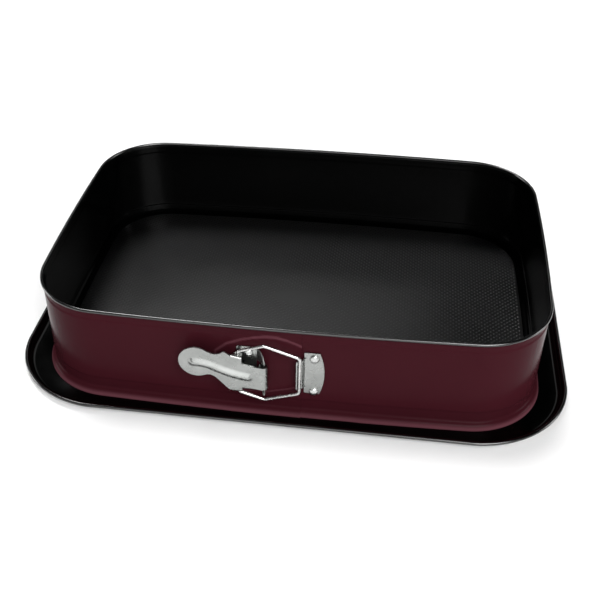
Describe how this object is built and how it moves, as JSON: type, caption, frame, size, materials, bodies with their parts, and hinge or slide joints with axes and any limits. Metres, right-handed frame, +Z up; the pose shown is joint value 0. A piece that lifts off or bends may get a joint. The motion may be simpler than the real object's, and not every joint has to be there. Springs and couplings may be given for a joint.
{
  "type": "springform pan",
  "caption": "Rectangular springform baking pan: rimmed leak-catching base tray, tall enamelled band with a rolled rim, and an over-centre wire latch.",
  "frame": {"origin": "centre of the pan's footprint, on the plane the tray rests on", "axes": "+Z up, +X along the pan's length, and the latch is on the long wall at -Y with its lever pointing to -X"},
  "size_m": [0.423, 0.2972, 0.08],
  "materials": {
    "tray_coating": "black non-stick coating on steel sheet, satin",
    "band_enamel": "burgundy enamel outside, black non-stick inside and on the rolled rim",
    "latch_steel": "zinc-plated, satin with fine scratches",
    "rivet_steel": "zinc-plated, satin",
    "wire_steel": "bright drawn wire"
  },
  "bodies": {
    "base": {"base_tray": "tray_coating"},
    "band": {"side_band": "band_enamel", "hinge_bracket": "latch_steel", "catch_plate": "latch_steel", "bracket_rivet_top": "rivet_steel", "bracket_rivet_bottom": "rivet_steel", "catch_rivet_top": "rivet_steel", "catch_rivet_bottom": "rivet_steel"},
    "lever": {"latch_lever": "latch_steel"},
    "bail": {"bail_wire": "wire_steel"}
  },
  "joints": [
    {"name": "band_lift", "type": "slide", "parent": "base", "child": "band", "axis": [0, 0, 1], "range_m": [0, 0.1]},
    {"name": "lever_swing", "type": "hinge", "parent": "band", "child": "lever", "pos_m": [-0.0102, -0.1362, 0.0403], "axis": [0, 0, 1], "range_deg": [0, 150]},
    {"name": "bail_swing", "type": "hinge", "parent": "lever", "child": "bail", "pos_m": [-0.0285, -0.1357, 0.0426], "axis": [0, 0, 1], "range_deg": [-150, 0]}
  ],
  "couplings": [
    {"joint": "bail_swing", "follows": "lever_swing", "ratio": -1}
  ]
}
